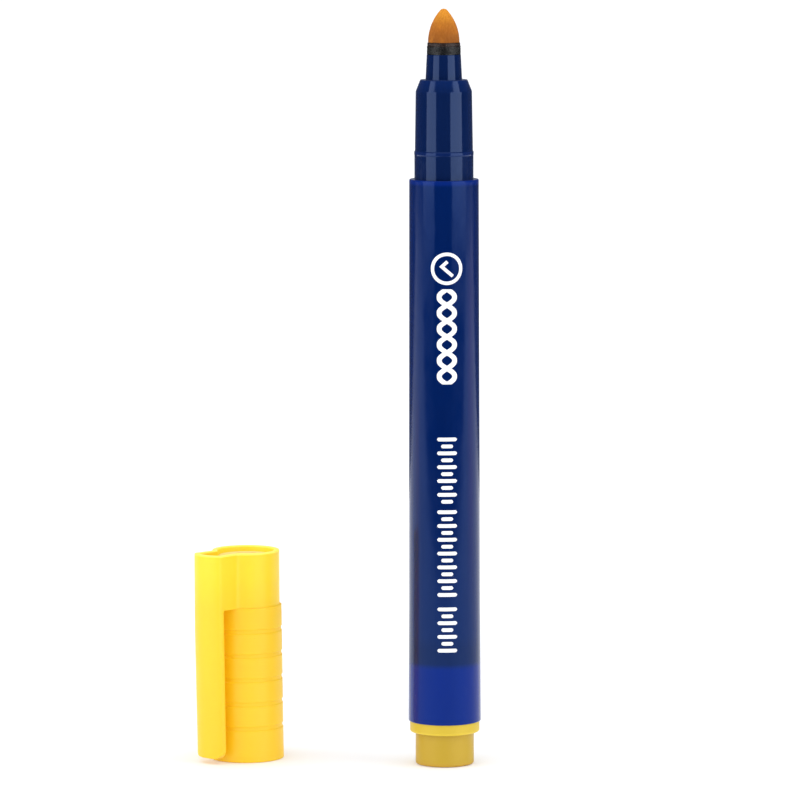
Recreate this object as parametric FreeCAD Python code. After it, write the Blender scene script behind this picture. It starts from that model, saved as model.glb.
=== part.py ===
import FreeCAD, Part
import math
import os

# Counterfeit detector pen, stood on its tail with its cap beside it.
# Millimetres. Origin: centre of the tail post's flat end. +Z runs up the pen to the nib.
# The pen's clear way round is X to the right and Y to the back; the cap stands at cap_x, cap_y.

# ---- barrel ----
barrel_length = 92.05
barrel_rim_dia = 11.71
barrel_taper = 0.32          # the barrel is this much wider where its lower swell begins
barrel_swell = 0.27          # and this much wider again at its lower end
swell_length = 22.2
barrel_wall = 1.055          # at the rim
barrel_edge = 0.2            # rounding of both end rims
rib_count = 4
rib_height = 0.85
rib_thickness = 0.8
rib_end_gap = 1.5            # from each rib end to the reservoir's end and to the section

# ---- tail plug ----
post_height = 5.5
post_inset = 1.205           # from the barrel's lower edge in to the post
post_edge = 0.35
post_wall = 1.25
post_floor = 1.5
flange_thickness = 1.85
flange_inset = 0.25
flange_edge = 0.35
sleeve_length = 5.0          # of plug inside the barrel
prong_count = 3
prong_thickness = 1.2
prong_depth = 2.2            # how far each prong reaches in from the sleeve's outside

# ---- front section ----
section_shoulder = 0.17      # of the section that rests on the barrel's rim, outside the bore
tenon_length = 9.0           # of section inside the barrel
section_bead_height = 4.0    # from the barrel rim up to the snap bead
section_bead_width = 0.8
section_bead_rise = 0.035
section_step = 0.085         # radius lost across the bead
section_draft = 0.155        # radius lost from the bead to the shoulder
section_straight = 14.76     # from the barrel rim up to the shoulder's chamfer
section_edge = 0.15
shoulder_height = 1.94
shoulder_width = 0.765       # of the chamfer, seen from above
ledge_width = 0.89           # of the flat round the nose
nose_height = 4.23
nose_draft = 0.215           # radius lost along the nose
nose_edge = 0.12
section_roof = 1.6           # solid left between the reservoir bore and the chamfer

# ---- collar and nib ----
collar_height = 1.34
collar_inset = 0.015
collar_lip_height = 0.63
collar_lip_inset = 0.075
collar_spigot = 3.0
collar_spigot_wall = 0.45
collar_seat_wall = 0.62      # nose wall round the collar's spigot
nib_inset = 0.12             # from the collar's lip in to the nib
nib_length = 5.67            # of rounded nib standing out of the collar
nib_tip_radius = 0.8
nib_edge = 0.08
nib_socket = 8.0             # of nib shank inside the reservoir
vent_width = 0.6
vent_depth = 0.25

# ---- reservoir ----
reservoir_lift = 9.75        # from the barrel's lower end up to the reservoir
reservoir_headroom = 2.0     # from the reservoir's top to the end of its bore
wrap_thickness = 0.15

# ---- cap ----
cap_x = -33.8
cap_y = 6.3
clip_heading = 225.0         # degrees from +X; the clip looks this way
cap_shoulder_gap = 0.3       # from the pen's shoulder to the end of the bore, with the cap on
cap_nib_room = 4.83          # from the nib's tip to the liner's disc, with the cap on
cap_mouth_wall = 1.28
cap_mouth_edge = 0.2
cap_lead_in = 0.3
skirt_height = 26.42
skirt_top_wall = 1.0
snap_groove_height = 3.95
snap_groove_width = 0.9
snap_groove_depth = 0.1
crown_step = 0.33
crown_wall = 0.85
crown_edge = 0.18
grip_groove_count = 5
grip_groove_margin = 4.02    # from the skirt's top to the middle of the highest groove
grip_groove_pitch = 4.155
grip_groove_width = 0.85
grip_groove_depth = 0.15
lobe_projection = 4.48       # of the lobe beyond the crown
lobe_width = 6.4
lobe_face_radius = 5.0
lobe_corner = 0.9
tiny_corner = 0.15           # the least rounding of a corner inside the lobe
lobe_blend = 1.3
lobe_floor = 3.05            # of solid between the pocket and the clip

# ---- clip ----
clip_straight = 3.8          # below this length the blade leans in
clip_lean = 0.5
clip_tip = 0.95
clip_tip_corner = 1.6
clip_root_gap = 2.13         # from the skirt out to the blade's inner face
clip_tip_gap = 1.43

# ---- inner cap ----
seal_gap = 0.06              # between the seal tube and the nose, on the radius
seal_wall = 0.7
seal_end_gap = 0.2           # from the bore's end to the seal tube's mouth
liner_recess = 0.95          # of the visible disc below the cap's rim
liner_disc_wall = 1.45
liner_skirt_length = 6.0
liner_skirt_wall = 0.6
liner_bevel = 0.25
liner_dome = 0.25
gate_ring_dia = 2.8
gate_ring_width = 0.3
gate_ring_depth = 0.12

# ---- fits ----
press_gap = 0.02             # between pieces pressed together, on the radius
slide_gap = 0.1              # between pieces slid together, on the radius
cap_gap = 0.08               # between the cap's bore and the front section, on the radius

near = 1e-4                  # how closely an edge must match to be picked

# ---- levels, worked out from the sizes above ----
flange_top = post_height + flange_thickness
barrel_rim = flange_top + barrel_length
section_foot = barrel_rim - tenon_length
shoulder_foot = barrel_rim + section_straight
shoulder_top = shoulder_foot + shoulder_height
nose_top = shoulder_top + nose_height
collar_top = nose_top + collar_height + collar_lip_height
reservoir_foot = flange_top + reservoir_lift
reservoir_bore_end = shoulder_foot - section_roof
reservoir_top = reservoir_bore_end - reservoir_headroom
cap_bore_depth = shoulder_top - barrel_rim + cap_shoulder_gap
liner_disc_foot = collar_top + nib_length - barrel_rim + cap_nib_room
liner_disc_top = liner_disc_foot + liner_disc_wall
cap_height = liner_disc_top + liner_recess
clip_root = skirt_height
clip_bend = clip_root - clip_straight

# ---- radii ----
barrel_rim_r = barrel_rim_dia / 2
barrel_swell_r = barrel_rim_r + barrel_taper / 2
barrel_foot_r = barrel_swell_r + barrel_swell / 2
bore_r = barrel_rim_r - barrel_wall
tenon_r = bore_r - press_gap
section_r = bore_r + section_shoulder
bead_top_r = section_r - section_step
shoulder_foot_r = bead_top_r - section_draft
shoulder_r = shoulder_foot_r - shoulder_width
nose_foot_r = shoulder_r - ledge_width
nose_top_r = nose_foot_r - nose_draft
collar_r = nose_top_r - collar_inset
collar_lip_r = collar_r - collar_lip_inset
nib_r = collar_lip_r - nib_inset
spigot_r = nose_top_r - collar_seat_wall
shank_r = spigot_r - collar_spigot_wall
wrap_r = bore_r - rib_height - slide_gap
core_r = wrap_r - wrap_thickness
reservoir_bore_r = wrap_r + slide_gap
post_r = barrel_foot_r - post_inset
cap_bore_r = section_r + cap_gap
skirt_mouth_r = cap_bore_r + cap_mouth_wall
skirt_top_r = cap_bore_r + skirt_top_wall
crown_r = skirt_top_r - crown_step
crown_bore_r = crown_r - crown_wall
seal_r = nose_foot_r + seal_gap
lobe_reach = crown_r + lobe_projection
lobe_half = lobe_width / 2


def turned(outline):
    """A solid of revolution about Z from a closed outline of (radius, height) points."""
    points = [FreeCAD.Vector(r, 0, z) for r, z in outline]
    face = Part.Face(Part.makePolygon(points + points[:1]))
    return face.revolve(FreeCAD.Vector(0, 0, 0), FreeCAD.Vector(0, 0, 1), 360)


def disc(radius, foot, top):
    """An upright cylinder on Z between two heights."""
    return Part.makeCylinder(radius, top - foot, FreeCAD.Vector(0, 0, foot))


def rim_edges(shape, radius, height):
    """The circular edges of a shape that have this radius and lie at this height."""
    found = []
    for edge in shape.Edges:
        if edge.Degenerated or not isinstance(edge.Curve, Part.Circle):
            continue
        circle = edge.Curve
        if abs(circle.Radius - radius) < near and abs(circle.Center.z - height) < near:
            found.append(edge)
    return found


def softened(shape, radius, height, size):
    """The shape with one circular rim rounded."""
    return shape.makeFillet(size, rim_edges(shape, radius, height))


def spokes(count, inner, outer, thickness, foot, top):
    """Upright radial ribs, evenly spaced round Z."""
    ribs = []
    for index in range(count):
        corner = FreeCAD.Vector(inner, -thickness / 2, foot)
        rib = Part.makeBox(outer - inner, thickness, top - foot, corner)
        rib.rotate(FreeCAD.Vector(0, 0, 0), FreeCAD.Vector(0, 0, 1), index * 360 / count)
        ribs.append(rib)
    return ribs


def make_barrel():
    """Tapered tube with a swollen lower end and ribs that hold the reservoir."""
    swell_top = flange_top + swell_length
    shell = turned([
        (bore_r, flange_top),
        (barrel_foot_r, flange_top),
        (barrel_swell_r, swell_top),
        (barrel_rim_r, barrel_rim),
        (bore_r, barrel_rim),
    ])
    shell = softened(shell, barrel_foot_r, flange_top, barrel_edge)
    shell = softened(shell, barrel_rim_r, barrel_rim, barrel_edge)
    rib_foot = reservoir_foot + rib_end_gap
    rib_top = section_foot - rib_end_gap
    into_wall = barrel_wall / 2
    ribs = spokes(rib_count, bore_r - rib_height, bore_r + into_wall, rib_thickness, rib_foot, rib_top)
    return shell.fuse(ribs).removeSplitter()


def make_tail_plug():
    """Post, flange and sleeve in one, hollow from above, with prongs that carry the reservoir."""
    sleeve_r = bore_r - press_gap
    flange_r = barrel_foot_r - flange_inset
    sleeve_top = flange_top + sleeve_length
    body = turned([
        (0, 0),
        (post_r, 0),
        (post_r, post_height),
        (flange_r, post_height),
        (flange_r, flange_top),
        (sleeve_r, flange_top),
        (sleeve_r, sleeve_top),
        (0, sleeve_top),
    ])
    body = softened(body, post_r, 0, post_edge)
    body = softened(body, flange_r, post_height, flange_edge)
    body = body.cut(disc(post_r - post_wall, post_floor, sleeve_top))
    prongs = spokes(prong_count, sleeve_r - prong_depth, sleeve_r, prong_thickness,
                    post_floor, reservoir_foot)
    around = disc(sleeve_r, post_floor, reservoir_foot)
    return body.fuse([prong.common(around) for prong in prongs]).removeSplitter()


def make_front_section():
    """Tenon, grip with its snap bead, chamfered shoulder and nose, bored for what it holds."""
    bead_foot = barrel_rim + section_bead_height
    bead_top = bead_foot + section_bead_width
    bead_r = section_r + section_bead_rise
    bead_slope = section_bead_width / 4
    body = turned([
        (0, section_foot),
        (tenon_r, section_foot),
        (tenon_r, barrel_rim),
        (section_r, barrel_rim),
        (section_r, bead_foot),
        (bead_r, bead_foot + bead_slope),
        (bead_r, bead_top - bead_slope),
        (bead_top_r, bead_top),
        (shoulder_foot_r, shoulder_foot),
        (shoulder_r, shoulder_top),
        (nose_foot_r, shoulder_top),
        (nose_top_r, nose_top),
        (0, nose_top),
    ])
    body = softened(body, shoulder_foot_r, shoulder_foot, section_edge)
    body = softened(body, shoulder_r, shoulder_top, section_edge)
    body = softened(body, nose_top_r, nose_top, nose_edge)
    body = body.cut(disc(reservoir_bore_r, section_foot, reservoir_bore_end))
    body = body.cut(disc(shank_r + slide_gap, reservoir_bore_end, nose_top))
    body = body.cut(disc(spigot_r + press_gap, nose_top - collar_spigot, nose_top))
    vent_r = shank_r + slide_gap + vent_depth
    vent = Part.makeBox(vent_r, vent_width, nose_top - reservoir_bore_end,
                        FreeCAD.Vector(0, -vent_width / 2, reservoir_bore_end))
    return body.cut(vent)


def make_nib_collar():
    """Black ring on the nose that the nib's head sits on, with a spigot down into the nose."""
    lip_foot = nose_top + collar_height
    lip_bevel = collar_lip_inset
    body = turned([
        (shank_r + slide_gap, nose_top - collar_spigot),
        (spigot_r, nose_top - collar_spigot),
        (spigot_r, nose_top),
        (collar_r, nose_top),
        (collar_r, lip_foot),
        (collar_lip_r, lip_foot + lip_bevel),
        (collar_lip_r, collar_top),
        (shank_r + slide_gap, collar_top),
    ])
    return softened(body, collar_lip_r, collar_top, collar_lip_inset)


def make_nib():
    """Bullet head on a thinner shank. The head's flank is one arc, tangent to its round tip."""
    flank_radius = (nib_length - nib_tip_radius) ** 2 + nib_r ** 2 - nib_tip_radius ** 2
    flank_radius = flank_radius / (2 * (nib_r - nib_tip_radius))
    flank_centre = FreeCAD.Vector(nib_r - flank_radius, 0, collar_top)
    tip_centre = FreeCAD.Vector(0, 0, collar_top + nib_length - nib_tip_radius)
    towards = (tip_centre - flank_centre).normalize()
    meet = flank_centre + towards * flank_radius
    tip = FreeCAD.Vector(0, 0, collar_top + nib_length)
    meet_angle = math.atan2(towards.z, towards.x)
    flank_middle = flank_centre + FreeCAD.Vector(
        math.cos(meet_angle / 2), 0, math.sin(meet_angle / 2)) * flank_radius
    tip_angle = (meet_angle + math.pi / 2) / 2
    tip_middle = tip_centre + FreeCAD.Vector(
        math.cos(tip_angle), 0, math.sin(tip_angle)) * nib_tip_radius
    head_foot = FreeCAD.Vector(nib_r, 0, collar_top)
    shank_end = reservoir_top - nib_socket
    corners = [
        tip,
        FreeCAD.Vector(0, 0, shank_end),
        FreeCAD.Vector(shank_r, 0, shank_end),
        FreeCAD.Vector(shank_r, 0, collar_top),
        head_foot,
    ]
    edges = [Part.makeLine(a, b) for a, b in zip(corners, corners[1:])]
    edges.append(Part.Arc(head_foot, flank_middle, meet).toShape())
    edges.append(Part.Arc(meet, tip_middle, tip).toShape())
    face = Part.Face(Part.Wire(edges))
    body = face.revolve(FreeCAD.Vector(0, 0, 0), FreeCAD.Vector(0, 0, 1), 360)
    return softened(body, nib_r, collar_top, nib_edge)


def make_reservoir_core():
    """Fibre rod that holds the fluid, with a socket in its top for the nib's shank."""
    core = disc(core_r, reservoir_foot, reservoir_top)
    return core.cut(disc(shank_r, reservoir_top - nib_socket, reservoir_top))


def make_reservoir_wrap():
    """Film sleeve round the fibre rod."""
    return disc(wrap_r, reservoir_foot, reservoir_top).cut(disc(core_r, reservoir_foot, reservoir_top))


def tab_wire(inner, outer, height, inset=0):
    """Level outline of the clip: flat inside face, parallel sides, rounded corners and a convex face."""
    half = lobe_width / 2 - inset
    corner = max(lobe_corner - inset, tiny_corner)
    face_radius = lobe_face_radius - inset
    face_centre = FreeCAD.Vector(outer - lobe_face_radius, 0, height)
    corner_v = half - corner
    reach = math.sqrt((face_radius - corner) ** 2 - corner_v ** 2)
    corner_centre = FreeCAD.Vector(face_centre.x + reach, corner_v, height)
    outward = (corner_centre - face_centre).normalize()
    on_face = face_centre + outward * face_radius
    half_angle = math.atan2(outward.y, outward.x) / 2 + math.pi / 4
    on_corner = corner_centre + FreeCAD.Vector(math.cos(half_angle), math.sin(half_angle), 0) * corner
    on_side = FreeCAD.Vector(corner_centre.x, half, height)
    inside = FreeCAD.Vector(inner, half, height)
    front = FreeCAD.Vector(outer - inset, 0, height)

    def mirrored(point):
        return FreeCAD.Vector(point.x, -point.y, point.z)

    return Part.Wire([
        Part.makeLine(mirrored(inside), mirrored(on_side)),
        Part.Arc(mirrored(on_side), mirrored(on_corner), mirrored(on_face)).toShape(),
        Part.Arc(mirrored(on_face), front, on_face).toShape(),
        Part.Arc(on_face, on_corner, on_side).toShape(),
        Part.makeLine(on_side, inside),
        Part.makeLine(inside, mirrored(inside)),
    ])


def tab_prism(inner, outer, foot, top, inset=0):
    """The clip's outline drawn straight up between two heights."""
    return Part.Face(tab_wire(inner, outer, foot, inset)).extrude(FreeCAD.Vector(0, 0, top - foot))


def placed_cap(shape):
    """Turns and moves a cap piece from the cap's own frame, clip towards +X, to where it stands."""
    placed = shape.copy()
    placed.rotate(FreeCAD.Vector(0, 0, 0), FreeCAD.Vector(0, 0, 1), clip_heading)
    placed.translate(FreeCAD.Vector(cap_x, cap_y, 0))
    return placed


def skirt_radius(height):
    """Outside radius of the tapered skirt at a height."""
    return skirt_mouth_r + (skirt_top_r - skirt_mouth_r) * height / skirt_height


def make_skirt():
    """Tapered outside of the cap's lower part, with its grip grooves."""
    outline = [(0, 0), (skirt_mouth_r, 0)]
    for index in range(grip_groove_count):
        below_top = grip_groove_margin + (grip_groove_count - 1 - index) * grip_groove_pitch
        middle = skirt_height - below_top
        low = middle - grip_groove_width / 2
        high = middle + grip_groove_width / 2
        outline.append((skirt_radius(low), low))
        outline.append((skirt_radius(low) - grip_groove_depth, low + grip_groove_depth))
        outline.append((skirt_radius(high) - grip_groove_depth, high - grip_groove_depth))
        outline.append((skirt_radius(high), high))
    outline.append((skirt_top_r, skirt_height))
    outline.append((0, skirt_height))
    return softened(turned(outline), skirt_mouth_r, 0, cap_mouth_edge)


def make_crown():
    """Smooth upper part of the cap: a round crown with a lobe that carries the clip."""
    crown = disc(crown_r, clip_root, cap_height)
    crown = crown.fuse(tab_prism(0, lobe_reach, clip_root, cap_height)).removeSplitter()
    creases = []
    for edge in crown.Edges:
        middle = edge.CenterOfMass
        upright = abs(edge.BoundBox.ZLength - edge.Length) < near
        at_side = abs(abs(middle.y) - lobe_half) < near
        on_crown = abs(math.hypot(middle.x, middle.y) - crown_r) < near
        if upright and at_side and on_crown:
            creases.append(edge)
    crown = crown.makeFillet(lobe_blend, creases)
    top_edges = [edge for edge in crown.Edges if edge.BoundBox.ZMin > cap_height - near]
    return crown.makeFillet(crown_edge, top_edges)


def make_cap_shell():
    """Grip skirt and crown in one, bored for the front section and for the inner cap."""
    body = make_skirt().fuse(make_crown())
    bore = turned([
        (0, 0),
        (cap_bore_r + cap_lead_in, 0),
        (cap_bore_r, cap_lead_in),
        (cap_bore_r, snap_groove_height),
        (cap_bore_r + snap_groove_depth, snap_groove_height + snap_groove_depth),
        (cap_bore_r + snap_groove_depth, snap_groove_height + snap_groove_width - snap_groove_depth),
        (cap_bore_r, snap_groove_height + snap_groove_width),
        (cap_bore_r, cap_bore_depth),
        (crown_bore_r, cap_bore_depth),
        (crown_bore_r, cap_height),
        (0, cap_height),
    ])
    pocket = tab_prism(0, lobe_reach, clip_root + lobe_floor, cap_height, crown_wall)
    return placed_cap(body.cut(bore).cut(pocket).removeSplitter())


def make_cap_clip():
    """The blade below the slot's ceiling. It leans in towards the skirt and ends just above the mouth."""
    root_inner = skirt_radius(clip_root) + clip_root_gap
    tip_inner = skirt_mouth_r + clip_tip_gap
    bend_share = (clip_root - clip_bend) / (clip_root - clip_tip)
    bend_inner = root_inner + (tip_inner - root_inner) * bend_share
    root = tab_wire(root_inner, lobe_reach, clip_root)
    bend = tab_wire(bend_inner, lobe_reach, clip_bend)
    tip = tab_wire(tip_inner, lobe_reach - clip_lean, clip_tip)
    upper = Part.makeLoft([root, bend], True, True)
    lower = Part.makeLoft([bend, tip], True, True)
    blade = upper.fuse(lower).removeSplitter()
    window = Part.makeBox(2 * lobe_reach, lobe_width, clip_root - clip_tip,
                          FreeCAD.Vector(0, -lobe_half, clip_tip))
    corners = []
    for edge in window.Edges:
        along_reach = abs(edge.BoundBox.XLength - edge.Length) < near
        if along_reach and edge.BoundBox.ZMax < clip_tip + near:
            corners.append(edge)
    window = window.makeFillet(clip_tip_corner, corners)
    return placed_cap(blade.common(window))


def make_inner_cap():
    """Liner pressed into the crown: a domed disc, a short outer skirt and the tube that seals on the nose."""
    liner_r = crown_bore_r - press_gap
    disc_top = liner_disc_top
    disc_foot = liner_disc_foot
    body = turned([
        (0, cap_bore_depth + seal_end_gap),
        (seal_r + seal_wall, cap_bore_depth + seal_end_gap),
        (seal_r + seal_wall, disc_foot),
        (liner_r - liner_skirt_wall, disc_foot),
        (liner_r - liner_skirt_wall, disc_foot - liner_skirt_length),
        (liner_r, disc_foot - liner_skirt_length),
        (liner_r, disc_top - liner_bevel),
        (liner_r - liner_bevel, disc_top),
        (0, disc_top),
    ])
    face_r = liner_r - liner_bevel
    dome_radius = (face_r ** 2 + liner_dome ** 2) / (2 * liner_dome)
    dome = Part.makeSphere(dome_radius, FreeCAD.Vector(0, 0, disc_top + liner_dome - dome_radius))
    dome = dome.common(disc(face_r, disc_top - liner_bevel, disc_top + 2 * liner_dome))
    ring_r = gate_ring_dia / 2
    ring_foot = disc_top + liner_dome - gate_ring_depth
    ring_top = disc_top + 2 * liner_dome
    ring = disc(ring_r + gate_ring_width, ring_foot, ring_top).cut(disc(ring_r, ring_foot, ring_top))
    body = body.fuse(dome).removeSplitter().cut(ring)
    bore = disc(seal_r, cap_bore_depth + seal_end_gap, disc_foot)
    return placed_cap(body.cut(bore))


makers = {
    "barrel": make_barrel,
    "tail_plug": make_tail_plug,
    "front_section": make_front_section,
    "nib_collar": make_nib_collar,
    "nib": make_nib,
    "reservoir_core": make_reservoir_core,
    "reservoir_wrap": make_reservoir_wrap,
    "cap_shell": make_cap_shell,
    "cap_clip": make_cap_clip,
    "inner_cap": make_inner_cap,
}

os.makedirs("parts", exist_ok=True)
for name, make in makers.items():
    shape = make()
    box = shape.BoundBox
    print(f"{name}: {len(shape.Solids)} solid, valid {shape.isValid()}, volume {shape.Volume:.1f} mm3, "
          f"z {box.ZMin:.2f} to {box.ZMax:.2f}")
    shape.exportStep(f"parts/{name}.step")
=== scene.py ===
import math

import bmesh
import bpy
from mathutils import Matrix, Vector, noise


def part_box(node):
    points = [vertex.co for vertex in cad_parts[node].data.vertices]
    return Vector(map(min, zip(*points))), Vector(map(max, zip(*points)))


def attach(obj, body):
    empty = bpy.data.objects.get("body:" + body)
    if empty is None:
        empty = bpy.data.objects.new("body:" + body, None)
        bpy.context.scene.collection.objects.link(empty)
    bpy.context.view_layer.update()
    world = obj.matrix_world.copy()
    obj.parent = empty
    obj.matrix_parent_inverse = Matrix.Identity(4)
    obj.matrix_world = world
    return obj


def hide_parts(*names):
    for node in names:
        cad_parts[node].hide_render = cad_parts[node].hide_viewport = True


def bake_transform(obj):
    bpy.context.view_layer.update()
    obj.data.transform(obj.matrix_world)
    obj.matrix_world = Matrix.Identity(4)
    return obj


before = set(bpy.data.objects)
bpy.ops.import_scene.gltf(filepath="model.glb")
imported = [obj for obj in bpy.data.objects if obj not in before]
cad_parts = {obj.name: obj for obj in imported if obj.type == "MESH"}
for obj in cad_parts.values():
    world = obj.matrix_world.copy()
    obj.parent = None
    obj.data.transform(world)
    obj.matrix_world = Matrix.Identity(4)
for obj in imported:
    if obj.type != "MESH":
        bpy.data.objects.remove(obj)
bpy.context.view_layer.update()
print("frame loaded:", len(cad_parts), "nodes")

mm = 0.001                      # every size below is in millimetres
tiny = 1e-6


def boxOf(node):
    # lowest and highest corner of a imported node, in millimetres
    low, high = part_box(node)
    return low / mm, high / mm


def middleOf(node):
    low, high = boxOf(node)
    return (low + high) / 2


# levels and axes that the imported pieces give
barrelLow, barrelHigh = boxOf("barrel")
sectionLow, sectionHigh = boxOf("front_section")
collarLow, collarHigh = boxOf("nib_collar")
nibLow, nibHigh = boxOf("nib")
plugLow, plugHigh = boxOf("tail_plug")
capHigh = boxOf("cap_shell")[1]
clipLow, clipHigh = boxOf("cap_clip")
linerLow = boxOf("inner_cap")[0]
penAxis = (barrelLow.x + barrelHigh.x) / 2, (barrelLow.y + barrelHigh.y) / 2
capAxis = middleOf("inner_cap").x, middleOf("inner_cap").y
rimHeight = barrelHigh.z
barrelFoot = barrelLow.z


def linked(name, data):
    made = bpy.data.objects.new(name, data)
    bpy.context.scene.collection.objects.link(made)
    return made


def quarter(steps):
    # sine and cosine at even steps through a quarter turn
    turns = [math.pi / 2 * step / steps for step in range(steps + 1)]
    return [(math.sin(turn), math.cos(turn)) for turn in turns]


def rounded(corners, closed=False, steps=7, hold=0.1):
    # corners are (radius, height) or (radius, height, rounding); an arc gets a holding point on both sides
    points = []
    last = len(corners) - 1
    for index, corner in enumerate(corners):
        here = Vector(corner[:2])
        size = corner[2] if len(corner) > 2 else 0
        if size == 0 or (not closed and index in (0, last)):
            points.append(here)
            continue
        before = Vector(corners[index - 1][:2])
        after = Vector(corners[(index + 1) % len(corners)][:2])
        toBefore = (before - here).normalized()
        toAfter = (after - here).normalized()
        half = toBefore.angle(toAfter) / 2
        reach = size / math.tan(half)
        centre = here + (toBefore + toAfter).normalized() * size / math.sin(half)
        first = here + toBefore * reach - centre
        final = here + toAfter * reach - centre
        if (before - here).length > reach + 3 * hold:
            points.append(here + toBefore * (reach + hold))
        for step in range(steps + 1):
            points.append(centre + first.lerp(final, step / steps).normalized() * size)
        if (after - here).length > reach + 3 * hold:
            points.append(here + toAfter * (reach + hold))
    return points


def arc(centre, radius, start, end, steps):
    # points of an arc, angles in radians, both ends included
    points = []
    for step in range(steps + 1):
        angle = start + (end - start) * step / steps
        points.append(Vector((centre[0] + radius * math.cos(angle), centre[1] + radius * math.sin(angle))))
    return points


def joinRings(shape, rings, closed):
    pairs = list(zip(rings, rings[1:]))
    if closed:
        pairs.append((rings[-1], rings[0]))
    for low, high in pairs:
        count = max(len(low), len(high))
        for index in range(count):
            following = index + 1
            corners = [low[index % len(low)], low[following % len(low)],
                       high[following % len(high)], high[index % len(high)]]
            corners = list(dict.fromkeys(corners))
            if len(corners) > 2:
                shape.faces.new(corners)


def finished(name, shape, sharpAbove=32):
    # merges doubles, turns faces outward, scales to metres and links the object at the origin
    bmesh.ops.remove_doubles(shape, verts=shape.verts, dist=tiny)
    bmesh.ops.recalc_face_normals(shape, faces=shape.faces)
    bmesh.ops.scale(shape, vec=(mm, mm, mm), verts=shape.verts)
    mesh = bpy.data.meshes.new(name)
    shape.to_mesh(mesh)
    shape.free()
    mesh.polygons.foreach_set("use_smooth", [True] * len(mesh.polygons))
    mesh.set_sharp_from_angle(angle=math.radians(sharpAbove))
    return linked(name, mesh)


def turned(name, outline, centre, closed=False, around=144, sharpAbove=32, wobble=None):
    # turns an outline of (radius, height) about an upright axis; wobble may change the radius
    shape = bmesh.new()
    rings = []
    for radius, height in outline:
        if radius < tiny:
            rings.append([shape.verts.new((centre[0], centre[1], height))])
            continue
        ring = []
        for index in range(around):
            angle = 2 * math.pi * index / around
            x, y = math.cos(angle), math.sin(angle)
            here = wobble(x * radius, y * radius, height, radius) if wobble else radius
            ring.append(shape.verts.new((centre[0] + here * x, centre[1] + here * y, height)))
        rings.append(ring)
    joinRings(shape, rings, closed)
    return finished(name, shape, sharpAbove)


def place(piece, body, node, material):
    # hands a finished piece to the frame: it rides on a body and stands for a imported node
    piece.data.materials.clear()
    piece.data.materials.append(material)
    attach(piece, body)
    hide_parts(node)


class Wire:
    # a node's output that adds and multiplies like a number
    def __init__(self, recipe, socket):
        self.recipe = recipe
        self.socket = socket

    def __add__(self, other):
        return self.recipe.maths("ADD", self, other)

    def __sub__(self, other):
        return self.recipe.maths("SUBTRACT", self, other)

    def __rsub__(self, other):
        return self.recipe.maths("SUBTRACT", other, self)

    def __mul__(self, other):
        return self.recipe.maths("MULTIPLY", self, other)

    def __truediv__(self, other):
        return self.recipe.maths("DIVIDE", self, other)

    def __rtruediv__(self, other):
        return self.recipe.maths("DIVIDE", other, self)

    __radd__ = __add__
    __rmul__ = __mul__


def shade(text):
    # a colour written as on a paint chart, turned to linear light
    values = []
    for start in (0, 2, 4):
        part = int(text[start:start + 2], 16) / 255
        values.append(part / 12.92 if part <= 0.04045 else ((part + 0.055) / 1.055) ** 2.4)
    return (*values, 1.0)


class Recipe:
    # builds one node tree; a colour may be given as text
    def __init__(self, tree):
        self.tree = tree
        self.tree.nodes.clear()

    def node(self, kind, settings=None, sockets=None, output=0):
        made = self.tree.nodes.new(kind)
        made.location = (len(self.tree.nodes) % 12 * 190, -(len(self.tree.nodes) // 12) * 260)
        for name, value in (settings or {}).items():
            if name == "stops":
                ramp = made.color_ramp.elements
                for index, (position, colour) in enumerate(value):
                    stop = ramp[index] if index < 2 else ramp.new(position)
                    stop.position = position
                    stop.color = shade(colour)
            else:
                setattr(made, name, value)
        for name, value in (sockets or {}).items():
            if isinstance(value, Wire):
                self.tree.links.new(value.socket, made.inputs[name])
            else:
                made.inputs[name].default_value = shade(value) if isinstance(value, str) else value
        return Wire(self, made.outputs[output]) if made.outputs else made

    def maths(self, operation, *values):
        return self.node("ShaderNodeMath", {"operation": operation}, dict(enumerate(values)))

    def ramp(self, value, start, end, low=0.0, high=1.0):
        # a soft step from low to high as value goes from start to end
        return self.node("ShaderNodeMapRange", {"interpolation_type": "SMOOTHSTEP"}, {
            "Value": value, "From Min": start, "From Max": end, "To Min": low, "To Max": high})

    def band(self, value, low, high, soft):
        # 1 between low and high, 0 outside, with soft ends
        return self.ramp(value, low - soft, low + soft) * self.ramp(value, high + soft, high - soft)

    def mix(self, factor, first, second):
        return self.node("ShaderNodeMix", {"data_type": "RGBA"}, {0: factor, 6: first, 7: second}, output=2)

    def split(self, vector):
        parts = self.node("ShaderNodeSeparateXYZ", None, {0: vector}).socket.node
        return [Wire(self, parts.outputs[index]) for index in range(3)]

    def vector(self, x, y, z):
        return self.node("ShaderNodeCombineXYZ", None, {0: x, 1: y, 2: z})

    def bump(self, height, distance):
        # distance in millimetres
        return self.node("ShaderNodeBump", None, {
            "Height": height, "Distance": distance * mm, "Strength": 1.0})


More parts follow.
